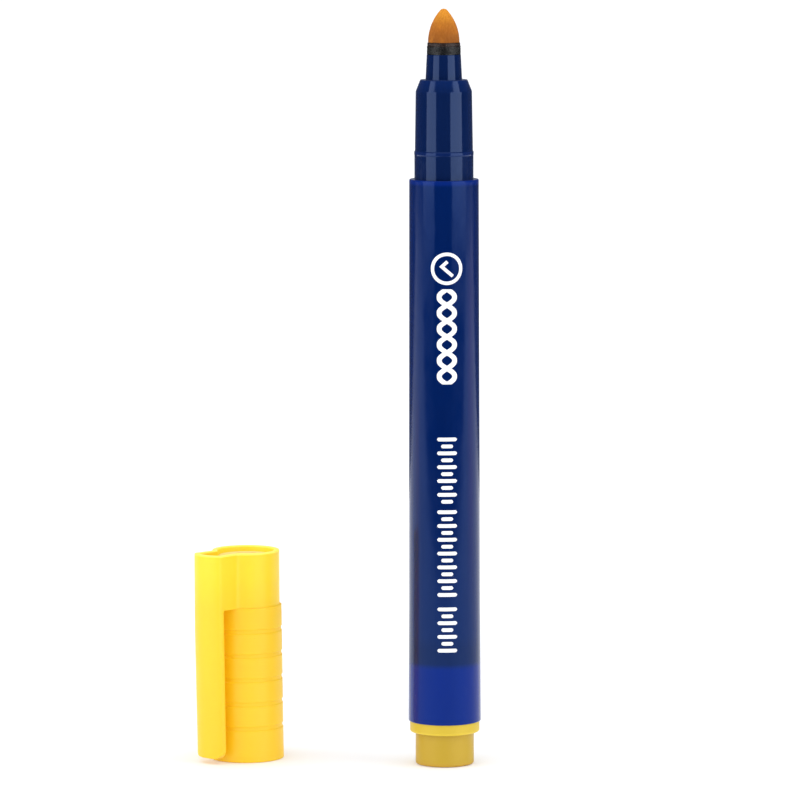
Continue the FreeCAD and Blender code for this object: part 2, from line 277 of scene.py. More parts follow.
class Paint(Recipe):
    # one material, with object coordinates in millimetres from the axis of its piece
    def __init__(self, name, axis=(0, 0)):
        self.material = bpy.data.materials.new(name)
        self.material.use_nodes = True
        super().__init__(self.material.node_tree)
        where = self.node("ShaderNodeTexCoord", None, None, "Object")
        self.spot = self.node("ShaderNodeMapping", None, {
            "Vector": where, "Location": (-axis[0], -axis[1], 0), "Scale": (1 / mm, 1 / mm, 1 / mm)})
        self.x, self.y, self.height = self.split(self.spot)
        self.colour = None

    def cloud(self, scale, detail=3.0, roughness=0.55, stretch=None):
        # soft noise; a stretch below 1 draws it out along that axis
        vector = self.spot
        if stretch:
            vector = self.node("ShaderNodeMapping", None, {"Vector": self.spot, "Scale": stretch})
        return self.node("ShaderNodeTexNoise", None, {
            "Vector": vector, "Scale": scale, "Detail": detail, "Roughness": roughness})

    def reach(self):
        return self.maths("SQRT", self.x * self.x + self.y * self.y)

    def turnFromFront(self):
        # degrees round the axis from the side that looks along -Y, to the right
        return self.maths("ARCTAN2", self.x, self.y * -1) * (180 / math.pi)

    def over(self, mask, colour):
        # a further layer of colour, where the mask is 1
        self.colour = self.mix(mask, self.colour, colour)

    def finish(self, sockets):
        shader = self.node("ShaderNodeBsdfPrincipled", None, {"Base Color": self.colour, **sockets})
        self.node("ShaderNodeOutputMaterial", None, {"Surface": shader})
        return self.material


barrel = {
    "rimRadius": 5.855, "swellRadius": 6.015, "footRadius": 6.15, "swellLength": 22.2, "edge": 0.2,
    "boreRadius": 4.8, "rimBand": 0.8, "tailZoneTop": 17.35, "lowerZoneTop": 62.0,
    "bodyColour": "021c54", "lowerColour": "082055", "tailLitColour": "00207c", "rimColour": "09277c",
    "streakColour": "1f1c4a", "purpleColour": "1c1554", "tailStreakColour": "231f70",
    "footShade": "0a1c46", "cloudShade": "000a2c", "gleam": (0.24, 0.4, 0.8, 1.0),
    "streakTurn": (-55, -46), "purpleTurn": (42, 54), "tailStreakTurn": (-62, -40), "purpleSpan": (34, 86),
}


def barrelRadius(height):
    rim, swell, foot = barrel["rimRadius"], barrel["swellRadius"], barrel["footRadius"]
    swellTop = barrelFoot + barrel["swellLength"]
    if height > swellTop:
        return rim + (swell - rim) * (rimHeight - height) / (rimHeight - swellTop)
    return swell + (foot - swell) * (swellTop - height) / barrel["swellLength"]


def paintBarrel():
    paint = Paint("barrel_blue_gloss", penAxis)
    turn = paint.turnFromFront()
    height = paint.height
    cloudy = paint.cloud(0.5, 3, stretch=(1, 1, 0.16))
    fine = paint.cloud(2.4, 2, stretch=(1, 1, 0.05))
    # the fluid store darkens and greys the wall in front of it, more towards its foot
    tailTop, lowerTop = barrel["tailZoneTop"], barrel["lowerZoneTop"]
    greyed = paint.ramp(height, lowerTop - 4, tailTop + 6)
    paint.colour = paint.mix(greyed * (0.75 + 0.5 * cloudy), barrel["bodyColour"], barrel["lowerColour"])
    paint.over(paint.band(height, tailTop, tailTop + 4.0, 1.6) * 0.55, barrel["footShade"])
    edge = turn + 6 * (fine - 0.5)
    streak = paint.band(edge, *barrel["streakTurn"], 4) * paint.band(height, tailTop, lowerTop, 5)
    paint.over(streak * 0.55, barrel["streakColour"])
    purple = paint.band(edge, *barrel["purpleTurn"], 6) * paint.band(height, *barrel["purpleSpan"], 10)
    paint.over(purple * 0.5, barrel["purpleColour"])
    # painted light: below the fluid store the wall is painted a brighter blue, for light that passes through
    # the wall where no store stands behind it
    lit = paint.ramp(height, tailTop + 0.55, tailTop - 0.65)
    streak = paint.band(turn, *barrel["tailStreakTurn"], 14) * 0.12
    litTailTone = paint.mix(streak, barrel["tailLitColour"], barrel["tailStreakColour"])
    paint.over(lit * (0.92 + 0.16 * (cloudy - 0.5)), litTailTone)
    rimFoot = rimHeight - barrel["rimBand"]
    paint.over(paint.ramp(height, rimFoot - 0.25, rimFoot + 0.35) * 0.7, barrel["rimColour"])
    paint.over(0.25 * cloudy, barrel["cloudShade"])
    # handling smears, hairline scratches and a faint wave left by moulding
    smear = paint.cloud(0.35, 4, 0.6, stretch=(1, 1, 0.35))
    scratch = paint.cloud(1.0, 2, 0.8, stretch=(9, 9, 0.8))
    hairline = paint.ramp(scratch, 0.72, 0.78)
    wave = paint.cloud(0.55, 2, 0.4, stretch=(1, 1, 0.3))
    relief = wave * 0.8 + 0.12 * paint.cloud(5, 2) - 0.15 * hairline
    return paint.finish({
        "Roughness": paint.ramp(smear, 0.3, 0.75, 0.09, 0.17) + 0.15 * hairline,
        "IOR": 1.49,
        "Specular Tint": barrel["gleam"],
        "Normal": paint.bump(relief, 0.03),
    })


def makeBarrel():
    outline = rounded([
        (barrel["boreRadius"], barrelFoot),
        (barrel["footRadius"], barrelFoot, barrel["edge"]),
        (barrel["swellRadius"], barrelFoot + barrel["swellLength"]),
        (barrel["rimRadius"], rimHeight, barrel["edge"]),
        (barrel["boreRadius"], rimHeight),
    ], closed=True)
    piece = turned("barrel_tube", outline, penAxis, closed=True, around=180)
    place(piece, "pen", "barrel", paintBarrel())
    return piece


barrelPiece = makeBarrel()
print("barrel turned")


def treeOf(name, inputs):
    # an empty geometry tree with named inputs; whole numbers are counts, None is a material
    kinds = {int: "NodeSocketInt", float: "NodeSocketFloat", type(None): "NodeSocketMaterial"}
    tree = bpy.data.node_groups.new(name, "GeometryNodeTree")
    tree.interface.new_socket("Geometry", in_out="OUTPUT", socket_type="NodeSocketGeometry")
    for label, value in inputs.items():
        socket = tree.interface.new_socket(label, in_out="INPUT", socket_type=kinds[type(value)])
        if value is not None:
            socket.default_value = value
    recipe = Recipe(tree)
    gate = recipe.node("NodeGroupInput").socket.node
    given = {socket.name: Wire(recipe, socket) for socket in gate.outputs if socket.name}
    return tree, recipe, given


def endTree(recipe, shape, finish):
    real = recipe.node("GeometryNodeRealizeInstances", None, {0: shape})
    done = recipe.node("GeometryNodeSetMaterial", None, {"Geometry": real, "Material": finish})
    recipe.node("NodeGroupOutput", None, {0: done})


def grown(name, tree, finish, sizes, others):
    # runs a geometry tree on an empty mesh and returns a plain mesh object; sizes are in millimetres
    values = {label: size * mm for label, size in sizes.items()}
    values.update(others, Finish=finish)
    holder = linked(name, bpy.data.meshes.new(name))
    modifier = holder.modifiers.new(name, "NODES")
    modifier.node_group = tree
    for item in tree.interface.items_tree:
        if item.in_out == "INPUT" and item.name in values:
            modifier[item.identifier] = values[item.name]
    ready = holder.evaluated_get(bpy.context.evaluated_depsgraph_get())
    mesh = bpy.data.meshes.new_from_object(ready)
    holder.modifiers.clear()
    holder.data = mesh
    mesh.name = name
    return holder


def spokeTree():
    tree, recipe, given = treeOf("spokes_round_axis", {
        "Count": 4, "Inner": 0.004, "Outer": 0.005, "Thickness": 0.001, "Foot": 0.0, "Top": 0.01,
        "Finish": None})
    inner, outer, foot, top = [given[label] for label in ("Inner", "Outer", "Foot", "Top")]
    rib = recipe.node("GeometryNodeMeshCube", None, {
        "Size": recipe.vector(outer - inner, given["Thickness"], top - foot),
        "Vertices X": 2, "Vertices Y": 2, "Vertices Z": 8})
    middle = recipe.vector((outer + inner) / 2, 0.0, (top + foot) / 2)
    rib = recipe.node("GeometryNodeTransform", None, {"Geometry": rib, "Translation": middle})
    spots = recipe.node("GeometryNodePoints", None, {"Count": given["Count"]})
    turn = recipe.vector(0.0, 0.0, recipe.node("GeometryNodeInputIndex") / given["Count"] * (2 * math.pi))
    ribs = recipe.node("GeometryNodeInstanceOnPoints", None, {
        "Points": spots, "Instance": rib, "Rotation": turn})
    endTree(recipe, ribs, given["Finish"])
    return tree


spokes = spokeTree()
barrelRibs = {"count": 4, "height": 0.85, "thickness": 0.8, "endGap": 1.5, "intoWall": 0.2}


def makeBarrelRibs():
    piece = grown("barrel_ribs", spokes, barrelPiece.data.materials[0], {
        "Inner": barrel["boreRadius"] - barrelRibs["height"],
        "Outer": barrel["boreRadius"] + barrelRibs["intoWall"],
        "Thickness": barrelRibs["thickness"],
        "Foot": boxOf("reservoir_wrap")[0].z + barrelRibs["endGap"],
        "Top": sectionLow.z - barrelRibs["endGap"],
    }, {"Count": barrelRibs["count"]})
    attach(piece, "pen")


makeBarrelRibs()
print("barrel ribs placed")


tailPlug = {
    "postRadius": 4.945, "postHeight": 5.5, "postEdge": 0.35, "flangeRadius": 5.9, "flangeEdge": 0.35,
    "sleeveRadius": 4.78, "sleeveLength": 5.0, "hollowRadius": 3.695, "floor": 1.5,
    "prongCount": 3, "prongThickness": 1.2, "prongDepth": 2.2, "prongInset": 0.04,
    "postToneAndShade": "bc9b16", "flangeToneAndShade": "d2b526", "lipColour": "e6ca38", "wornColour": "b48f1c",
    "scuffColour": "c29226",
}


def paintPlug():
    paint = Paint("tail_plug_satin_yellow", penAxis)
    patchy = paint.cloud(0.5, 4, 0.6)
    grain = paint.cloud(9, 2, 0.6)
    top = tailPlug["postHeight"]
    # painted shade: the post and flange colours are darkened partly for the shade under the barrel's overhang
    # and partly for a more tan plastic than the cap's
    upper = paint.ramp(paint.height, top - 0.25, top + 0.05)
    paint.colour = paint.mix(upper, tailPlug["postToneAndShade"], tailPlug["flangeToneAndShade"])
    # painted highlight: a lighter band along the flange's lower edge, where it faces the light
    paint.over(paint.band(paint.height, top, top + 0.3, 0.25), tailPlug["lipColour"])
    paint.over(patchy * 0.22, tailPlug["wornColour"])
    scuffed = paint.ramp(paint.height + 0.6 * (patchy - 0.5), 0.75, 0.1) * 0.6
    paint.over(scuffed, tailPlug["scuffColour"])
    draw = paint.cloud(2, 2, stretch=(2.5, 2.5, 0.2))
    return paint.finish({
        "Roughness": paint.ramp(patchy, 0.25, 0.8, 0.36, 0.5) + 0.1 * scuffed,
        "IOR": 1.48,
        "Normal": paint.bump(0.6 * draw + 0.5 * grain + patchy, 0.012),
    })


def makeTailPlug():
    sleeveTop = barrelFoot + tailPlug["sleeveLength"]
    outline = rounded([
        (0, plugLow.z),
        (tailPlug["postRadius"], plugLow.z, tailPlug["postEdge"]),
        (tailPlug["postRadius"], tailPlug["postHeight"]),
        (tailPlug["flangeRadius"], tailPlug["postHeight"], tailPlug["flangeEdge"]),
        (tailPlug["flangeRadius"], barrelFoot),
        (tailPlug["sleeveRadius"], barrelFoot),
        (tailPlug["sleeveRadius"], sleeveTop, 0.1),
        (tailPlug["hollowRadius"], sleeveTop, 0.1),
        (tailPlug["hollowRadius"], tailPlug["floor"]),
        (0, tailPlug["floor"]),
    ])
    piece = turned("tail_plug_body", outline, penAxis)
    place(piece, "pen", "tail_plug", paintPlug())
    prongs = grown("tail_plug_prongs", spokes, piece.data.materials[0], {
        "Inner": tailPlug["sleeveRadius"] - tailPlug["prongDepth"],
        "Outer": tailPlug["sleeveRadius"] - tailPlug["prongInset"],
        "Thickness": tailPlug["prongThickness"],
        "Foot": tailPlug["floor"],
        "Top": plugHigh.z,
    }, {"Count": tailPlug["prongCount"]})
    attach(prongs, "pen")


makeTailPlug()
print("tail plug turned")


section = {
    "tenonRadius": 4.78, "landRadius": 4.97, "beadFoot": 4.0, "beadWidth": 0.8, "beadRadius": 5.005,
    "aboveBead": 4.885, "straight": 14.76, "shoulderFootRadius": 4.73, "shoulderHeight": 1.94,
    "shoulderRadius": 3.965, "noseFootRadius": 3.075, "noseTopRadius": 2.86, "edge": 0.15, "noseEdge": 0.12,
    "spigotDepth": 3.0, "spigotRadius": 2.26, "shankRadius": 1.89, "storeRadius": 3.95, "storeEnd": 13.16,
    "colour": "091c46", "cloudShade": "06163c", "chamferHighlightColour": "0a2052", "beadColour": "152c72",
    "gleam": (0.4, 0.58, 1.0, 1.0),
}


def paintSection():
    paint = Paint("front_section_navy_gloss", penAxis)
    height = paint.height
    shoulder = rimHeight + section["straight"]
    soft = paint.cloud(0.6, 3, stretch=(1, 1, 0.25))
    paint.colour = paint.mix(soft * 0.5, section["colour"], section["cloudShade"])
    ledge = shoulder + section["shoulderHeight"]
    # painted highlight: the upward-sloping shoulder is painted a lighter blue, more so towards its top, for
    # the light above that it mirrors
    chamferHighlight = paint.band(height, shoulder - 0.1, ledge + 0.1, 0.35)
    paint.over(chamferHighlight * paint.ramp(height, shoulder, ledge, 0.35, 0.95), section["chamferHighlightColour"])
    beadMiddle = rimHeight + section["beadFoot"] + section["beadWidth"] / 2
    bead = paint.band(height, beadMiddle - 0.32, beadMiddle + 0.32, 0.12)
    paint.over(bead * 0.2, section["beadColour"])
    smear = paint.cloud(0.6, 4, 0.6)
    scratch = paint.ramp(paint.cloud(1.1, 2, 0.8, stretch=(8, 8, 1.5)), 0.72, 0.78)
    wave = paint.cloud(0.7, 2, 0.4, stretch=(1, 1, 0.4))
    relief = 0.7 * wave - 0.15 * scratch + 0.1 * paint.cloud(6, 2)
    return paint.finish({
        "Roughness": paint.ramp(smear, 0.3, 0.8, 0.06, 0.12) + 0.12 * scratch,
        "IOR": 1.5,
        "Specular Tint": section["gleam"],
        "Normal": paint.bump(relief, 0.006),
    })


def makeFrontSection():
    beadFoot = rimHeight + section["beadFoot"]
    beadTop = beadFoot + section["beadWidth"]
    slope = section["beadWidth"] / 4
    shoulder = rimHeight + section["straight"]
    ledge = shoulder + section["shoulderHeight"]
    spigotFoot = sectionHigh.z - section["spigotDepth"]
    storeEnd = rimHeight + section["storeEnd"]
    outline = rounded([
        (section["storeRadius"], sectionLow.z),
        (section["tenonRadius"], sectionLow.z, 0.1),
        (section["tenonRadius"], rimHeight),
        (section["landRadius"], rimHeight),
        (section["landRadius"], beadFoot, 0.08),
        (section["beadRadius"], beadFoot + slope, 0.12),
        (section["beadRadius"], beadTop - slope, 0.12),
        (section["aboveBead"], beadTop, 0.06),
        (section["shoulderFootRadius"], shoulder, section["edge"]),
        (section["shoulderRadius"], ledge, section["edge"]),
        (section["noseFootRadius"], ledge, 0.05),
        (section["noseTopRadius"], sectionHigh.z, section["noseEdge"]),
        (section["spigotRadius"], sectionHigh.z),
        (section["spigotRadius"], spigotFoot),
        (section["shankRadius"], spigotFoot),
        (section["shankRadius"], storeEnd),
        (section["storeRadius"], storeEnd),
    ], closed=True, hold=0.05)
    piece = turned("front_section_grip", outline, penAxis, closed=True, around=180)
    place(piece, "pen", "front_section", paintSection())


makeFrontSection()
print("front section turned")


collar = {
    "bodyRadius": 2.845, "lipRadius": 2.77, "bodyHeight": 1.34, "spigotRadius": 2.24, "holeRadius": 1.89,
    "edge": 0.03, "roughness": 0.055, "bodyColour": "0a0b0d", "lipColour": "281812",
    "gritColour": "0b0b0d", "speckColour": "7d7a78",
}


def paintCollar():
    paint = Paint("nib_collar_black_rubber", penAxis)
    noseTop = sectionHigh.z
    lipFoot = noseTop + collar["bodyHeight"]
    grit = paint.cloud(3.2, 4, 0.7)
    specks = paint.ramp(paint.cloud(7, 2, 0.6), 0.64, 0.7)
    lip = paint.ramp(paint.height + 0.3 * (grit - 0.5), lipFoot - 0.1, lipFoot + 0.12)
    paint.colour = paint.mix(lip, collar["bodyColour"], collar["lipColour"])
    paint.over(paint.ramp(grit, 0.4, 0.75) * 0.5, collar["gritColour"])
    paint.over(specks * 0.3, collar["speckColour"])
    return paint.finish({
        "Roughness": paint.ramp(grit, 0.3, 0.7, 0.2, 0.42),
        "IOR": 1.42,
        "Normal": paint.bump(grit + 0.4 * specks, 0.05),
    })


def makeNibCollar():
    noseTop = sectionHigh.z
    lipFoot = noseTop + collar["bodyHeight"]

    def ragged(x, y, z, radius):
        # only the part that stands out of the nose is uneven
        if z < noseTop + 0.1 or radius < collar["spigotRadius"]:
            return radius
        coarse = noise.noise(Vector((x, y, z * 1.5)) * 1.1)
        close = noise.noise(Vector((x, y, z)) * 4.5)
        return radius + collar["roughness"] * (0.5 * coarse + 0.5 * close - 0.35)

    lipTop = collarHigh.z
    body, lip, edge = collar["bodyRadius"], collar["lipRadius"], collar["edge"]
    side = [(body, noseTop + (lipFoot - noseTop) * step / 12) for step in range(13)]
    lipSide = [(lip, lipFoot + 3 * edge + (lipTop - 6 * edge - lipFoot) * step / 6) for step in range(7)]
    outline = [
        (collar["holeRadius"], collarLow.z),
        (collar["spigotRadius"], collarLow.z),
        (collar["spigotRadius"], noseTop),
        *side,
        (body - edge, lipFoot + 0.04),
        *lipSide,
        (lip - edge, lipTop - edge),
        (lip - 3 * edge, lipTop),
        (collar["holeRadius"], lipTop),
    ]
    piece = turned("nib_collar_ring", outline, penAxis, closed=True, around=180, sharpAbove=50, wobble=ragged)
    place(piece, "pen", "nib_collar", paintCollar())


makeNibCollar()
print("nib collar turned")


nib = {
    "baseRadius": 2.65, "tipRadius": 0.8, "shankRadius": 1.79, "fuzz": 0.012,
    "baseColour": "8a4f12", "lowColour": "a25e16", "middleColour": "b06a19", "highColour": "c47d20",
    "tipColour": "d78d26", "fibreColour": "7c400c", "soakedColour": "c5771c", "fuzzColour": "f0a040",
}


def paintNib():
    paint = Paint("nib_bonded_fibre", penAxis)
    share = paint.ramp(paint.height, collarHigh.z, nibHigh.z)
    paint.colour = paint.node("ShaderNodeValToRGB", {"stops": [
        (0.0, nib["baseColour"]), (1.0, nib["tipColour"]), (0.3, nib["lowColour"]),
        (0.6, nib["middleColour"]), (0.8, nib["highColour"])]}, {"Fac": share})
    fibres = paint.cloud(5.5, 3, 0.65, stretch=(1, 1, 0.22))
    strands = paint.cloud(14, 2, 0.6, stretch=(1, 1, 0.08))
    soaked = paint.cloud(0.55, 3)
    paint.over(paint.ramp(fibres, 0.35, 0.7) * 0.35, nib["fibreColour"])
    paint.over(paint.ramp(soaked, 0.45, 0.75) * 0.4, nib["soakedColour"])
    return paint.finish({
        "Roughness": paint.ramp(fibres, 0.3, 0.7, 0.62, 0.85),
        "IOR": 1.45,
        "Specular IOR Level": 0.2,
        "Sheen Weight": 0.08,
        "Sheen Roughness": 0.4,
        "Sheen Tint": nib["fuzzColour"],
        "Normal": paint.bump(fibres + 0.6 * strands, 0.035),
    })


def makeNib():
    base, tip = nib["baseRadius"], nib["tipRadius"]
    foot, apex = collarHigh.z, nibHigh.z
    length = apex - foot
    # one arc makes the flank: upright at the foot, and tangent to the round tip
    flank = ((length - tip) ** 2 + base ** 2 - tip ** 2) / (2 * (base - tip))
    centre = (base - flank, foot)
    meet = math.atan2(apex - tip - foot, flank - base)
    tipArc = arc((0, apex - tip), tip, math.pi / 2, meet, 16)
    flankArc = arc(centre, flank, meet, 0, 40)
    outline = [Vector((0, apex)), *tipArc[1:], *flankArc[1:-1], Vector((base, foot + 0.08)),
               Vector((base - 0.08, foot)), Vector((nib["shankRadius"], foot)),
               Vector((nib["shankRadius"], nibLow.z)), Vector((0, nibLow.z))]

    def fuzzy(x, y, z, radius):
        if z < foot + 0.2:
            return radius
        rough = noise.noise(Vector((x, y, z * 0.6)) * 3.1) + 0.6 * noise.noise(Vector((x, y, z * 0.5)) * 7.3)
        return radius + nib["fuzz"] * rough * min(1.0, radius)

    piece = turned("nib_bullet", outline, penAxis, around=160, wobble=fuzzy)
    place(piece, "pen", "nib", paintNib())


makeNib()
print("nib turned")


store = {"fibreDark": "6e4420", "fibreLight": "a06a34", "filmDark": "c9ccd2", "filmLight": "e6e8ec"}


def paintStore():
    paint = Paint("store_wet_fibre", penAxis)
    strands = paint.cloud(6, 3, 0.65, stretch=(1, 1, 0.04))
    paint.colour = paint.mix(paint.ramp(strands, 0.3, 0.7), store["fibreDark"], store["fibreLight"])
    return paint.finish({"Roughness": paint.ramp(strands, 0.3, 0.7, 0.6, 0.85),
                         "Normal": paint.bump(strands, 0.06)})


def paintFilm():
    paint = Paint("store_film_clear", penAxis)
    crease = paint.cloud(1.2, 4, 0.6, stretch=(1, 1, 0.12))
    paint.colour = paint.mix(paint.ramp(crease, 0.35, 0.7), store["filmDark"], store["filmLight"])
    return paint.finish({"Roughness": paint.ramp(crease, 0.3, 0.7, 0.18, 0.34),
                         "Normal": paint.bump(crease, 0.04)})


def dressStore():
    for node, material in (("reservoir_core", paintStore()), ("reservoir_wrap", paintFilm())):
        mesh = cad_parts[node].data
        mesh.materials.clear()
        mesh.materials.append(material)


dressStore()
print("fluid store painted")


inkMarks = {
    "turn": 4.0, "lift": 0.022, "sunk": 0.05, "endWidth": 0.06,
    "badgeMiddle": 84.75, "ringInner": 2.15, "ringOuter": 2.72, "tickStroke": 0.56,
    "tick": ((0.1, 1.2), (-0.85, 0.35), (1.0, -1.25)),
    "braidTop": 81.3, "braidFoot": 65.3, "braidWaves": 3.0, "braidReach": 1.3, "braidStroke": 0.82,
    "markLong": 3.35, "markShort": 2.0, "markStroke": 0.62, "markPitch": 1.17,
    "rows": ((56.0, 10), (43.7, 13), (27.2, 7)),     # top and number of strokes
    "colour": "f4f5f8", "thinColour": "b9c3dc", "wornColour": "c9cfe0",
}

film = inkMarks["lift"] + inkMarks["sunk"]      # from the film's hidden back to its face


def paintInk():
    paint = Paint("barrel_ink_white", penAxis)
    thin = paint.cloud(6, 3, 0.6)
    worn = paint.cloud(0.9, 3)
    paint.colour = paint.mix(paint.ramp(thin, 0.55, 0.8) * 0.25, inkMarks["colour"], inkMarks["thinColour"])
    paint.over(paint.ramp(worn, 0.55, 0.8) * 0.2, inkMarks["wornColour"])
    return paint.finish({"Roughness": paint.ramp(worn, 0.3, 0.7, 0.3, 0.45),
                         "Normal": paint.bump(thin, 0.006)})


def wrapped(recipe, flat, sideways, upward, depth):
    # carries flat ink, laid out as (sideways, upward, depth), round the barrel's tapered wall
    swellTop = barrelFoot + barrel["swellLength"]
    rim, swell, foot = barrel["rimRadius"], barrel["swellRadius"], barrel["footRadius"]

    def slope(fromHeight, toHeight, low, high):
        return recipe.node("ShaderNodeMapRange", None, {
            "Value": upward, "From Min": fromHeight * mm, "From Max": toHeight * mm,
            "To Min": low * mm, "To Max": high * mm})

    upper = slope(rimHeight, swellTop, rim, swell)
    lower = slope(swellTop, barrelFoot, 0.0, foot - swell)
    wall = upper + lower
    angle = sideways / wall + math.radians(inkMarks["turn"])
    out = wall + depth - inkMarks["sunk"] * mm
    spot = recipe.vector(out * recipe.maths("SINE", angle) + penAxis[0] * mm,
                         penAxis[1] * mm - out * recipe.maths("COSINE", angle), upward)
    return recipe.node("GeometryNodeSetPosition", None, {"Geometry": flat, "Position": spot})


def inkFilm(recipe, flat, thickness):
    # a closed film from a flat sheet: the raised sheet, its sides and its turned back
    raised = recipe.node("GeometryNodeExtrudeMesh", {"mode": "FACES"}, {
        "Mesh": flat, "Offset Scale": thickness, "Individual": False})
    back = recipe.node("GeometryNodeFlipFaces", None, {0: flat})
    joined = recipe.node("GeometryNodeJoinGeometry")
    joint = joined.socket.node
    for part in (back, raised):
        recipe.tree.links.new(part.socket, joint.inputs[0])
    return recipe.node("GeometryNodeMergeByDistance", None, {"Geometry": joined, "Distance": 1e-7})


def markTree():
    # a column of pills, long and short by turns
    tree, recipe, given = treeOf("ink_marks", {
        "Count": 6, "Pitch": 0.001, "Long": 0.003, "Short": 0.002, "Stroke": 0.0006, "Top": 0.05,
        "Film": 0.00007, "Finish": None})
    pitch, half = given["Pitch"], given["Stroke"] / 2

    def lengthOf(odd):
        return given["Long"] + (given["Short"] - given["Long"]) * odd

    unit = recipe.node("GeometryNodeMeshGrid", None, {
        "Size X": 1.0, "Size Y": 1.0, "Vertices X": 21, "Vertices Y": 4})
    column = recipe.node("GeometryNodeMeshLine", {"mode": "OFFSET"}, {
        "Count": given["Count"], "Offset": recipe.vector(0.0, pitch * -1, 0.0)})
    odd = recipe.maths("MODULO", recipe.node("GeometryNodeInputIndex"), 2.0)
    size = recipe.vector(lengthOf(odd), given["Stroke"], 1.0)
    pills = recipe.node("GeometryNodeInstanceOnPoints", None, {
        "Points": column, "Instance": unit, "Scale": size})
    pills = recipe.node("GeometryNodeRealizeInstances", None, {0: pills})
    # each pill narrows in a half circle over its last half stroke
    x, y = recipe.split(recipe.node("GeometryNodeInputPosition"))[:2]
    row = recipe.maths("ROUND", y / pitch)
    reach = lengthOf(recipe.maths("ABSOLUTE", recipe.maths("MODULO", row, 2.0))) / 2
    over = recipe.maths("MAXIMUM", recipe.maths("ABSOLUTE", x) - reach + half, 0.0) / half
    narrow = recipe.maths("SQRT", recipe.maths("MAXIMUM", 1 - over * over, inkMarks["endWidth"]))
    shaped = recipe.vector(x, row * pitch + (y - row * pitch) * narrow, 0.0)
    pills = recipe.node("GeometryNodeSetPosition", None, {"Geometry": pills, "Position": shaped})
    ink = inkFilm(recipe, pills, given["Film"])
    sideways, down, lifted = recipe.split(recipe.node("GeometryNodeInputPosition"))
    endTree(recipe, wrapped(recipe, ink, sideways, down + given["Top"], lifted), given["Finish"])
    return tree


def braidTree():
    # one strand of a braid: a strip that swings from side to side as it runs down
    tree, recipe, given = treeOf("ink_braid_strand", {
        "Top": 0.08, "Foot": 0.06, "Waves": 3.0, "Reach": 0.001, "Stroke": 0.0008, "Phase": 0.0,
        "Film": 0.00007, "Finish": None})
    strip = recipe.node("GeometryNodeMeshGrid", None, {
        "Size X": 1.0, "Size Y": 1.0, "Vertices X": 5, "Vertices Y": 161})
    x, y = recipe.split(recipe.node("GeometryNodeInputPosition"))[:2]
    length = given["Top"] - given["Foot"]
    turns = given["Waves"] * (2 * math.pi)
    swing = (y + 0.5) * turns + given["Phase"]
    slope = given["Reach"] * recipe.maths("COSINE", swing) * turns / length
    widened = given["Stroke"] * recipe.maths("SQRT", 1 + slope * slope)
    spot = recipe.vector(given["Reach"] * recipe.maths("SINE", swing) + x * widened, y * length, 0.0)
    strip = recipe.node("GeometryNodeSetPosition", None, {"Geometry": strip, "Position": spot})
    ink = inkFilm(recipe, strip, given["Film"])
    sideways, up, lifted = recipe.split(recipe.node("GeometryNodeInputPosition"))
    ink = wrapped(recipe, ink, sideways, up + (given["Top"] + given["Foot"]) / 2, lifted)
    endTree(recipe, ink, given["Finish"])
    return tree


def layOnBarrel(name, shape):
    # bends ink laid out flat, depth along z, round the barrel's wall at the badge
    for vert in shape.verts:
        upward = vert.co.y + inkMarks["badgeMiddle"]
        wall = barrelRadius(upward)
        angle = vert.co.x / wall + math.radians(inkMarks["turn"])
        out = wall + vert.co.z - inkMarks["sunk"]
        vert.co = (penAxis[0] + out * math.sin(angle), penAxis[1] - out * math.cos(angle), upward)
    return finished(name, shape)


def makeRing():
    shape = bmesh.new()
    outer, inner = inkMarks["ringOuter"], inkMarks["ringInner"]
    rings = []
    for radius, depth in ((outer, 0), (inner, 0), (inner, film), (outer, film)):
        loop = arc((0, 0), radius, 0, 2 * math.pi, 72)[:-1]
        rings.append([shape.verts.new((*point, depth)) for point in loop])
    joinRings(shape, rings, closed=True)
    return layOnBarrel("ink_ring", shape)


def makeTick():
    # the marks read downward, so the tick's own upright points to the right
    half = inkMarks["tickStroke"] / 2
    start, bend, end = [Vector(point) for point in inkMarks["tick"]]
    short, long = (bend - start).normalized(), (end - bend).normalized()
    middle = (short + long).normalized()
    sides = []
    for along, reach in ((short, half), (middle, half / math.cos(short.angle(long) / 2)), (long, half)):
        sides.append(Vector((-along.y, along.x)) * reach)
    shape = bmesh.new()
    rings = []
    for first, last, firstSide, lastSide in ((start, bend, *sides[:2]), (bend, end, *sides[1:])):
        for step in range(9):
            spot, side = first.lerp(last, step / 8), firstSide.lerp(lastSide, step / 8)
            left, right = spot + side, spot - side
            corners = [(*left, 0), (*right, 0)]
            corners += [(*right.lerp(left, part / 6), film) for part in range(7)]
            rings.append([shape.verts.new(corner) for corner in corners])
    joinRings(shape, rings, closed=False)
    shape.faces.new(rings[0])
    shape.faces.new(rings[-1])
    return layOnBarrel("ink_tick", shape)


def makePrint():
    ink = paintInk()
    parts = [makeRing(), makeTick()]
    marks = markTree()
    for number, (top, count) in enumerate(inkMarks["rows"]):
        sizes = {label: inkMarks["mark" + label] for label in ("Pitch", "Long", "Short", "Stroke")}
        sizes.update(Top=top, Film=film)
        parts.append(grown(f"ink_row_{number}", marks, ink, sizes, {"Count": count}))
    braid = braidTree()
    for number, phase in enumerate((0.0, math.pi)):
        sizes = {label: inkMarks["braid" + label] for label in ("Top", "Foot", "Reach", "Stroke")}
        sizes["Film"] = film
        others = {"Waves": inkMarks["braidWaves"], "Phase": phase}
        parts.append(grown(f"ink_strand_{number}", braid, ink, sizes, others))
    whole = bmesh.new()
    for part in parts:
        whole.from_mesh(part.data)
        bpy.data.objects.remove(part)
    mesh = bpy.data.meshes.new("barrel_print")
    whole.to_mesh(mesh)
    whole.free()
    mesh.materials.append(ink)
    piece = linked("barrel_print", mesh)
    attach(piece, "pen")


makePrint()
print("barrel marks printed")


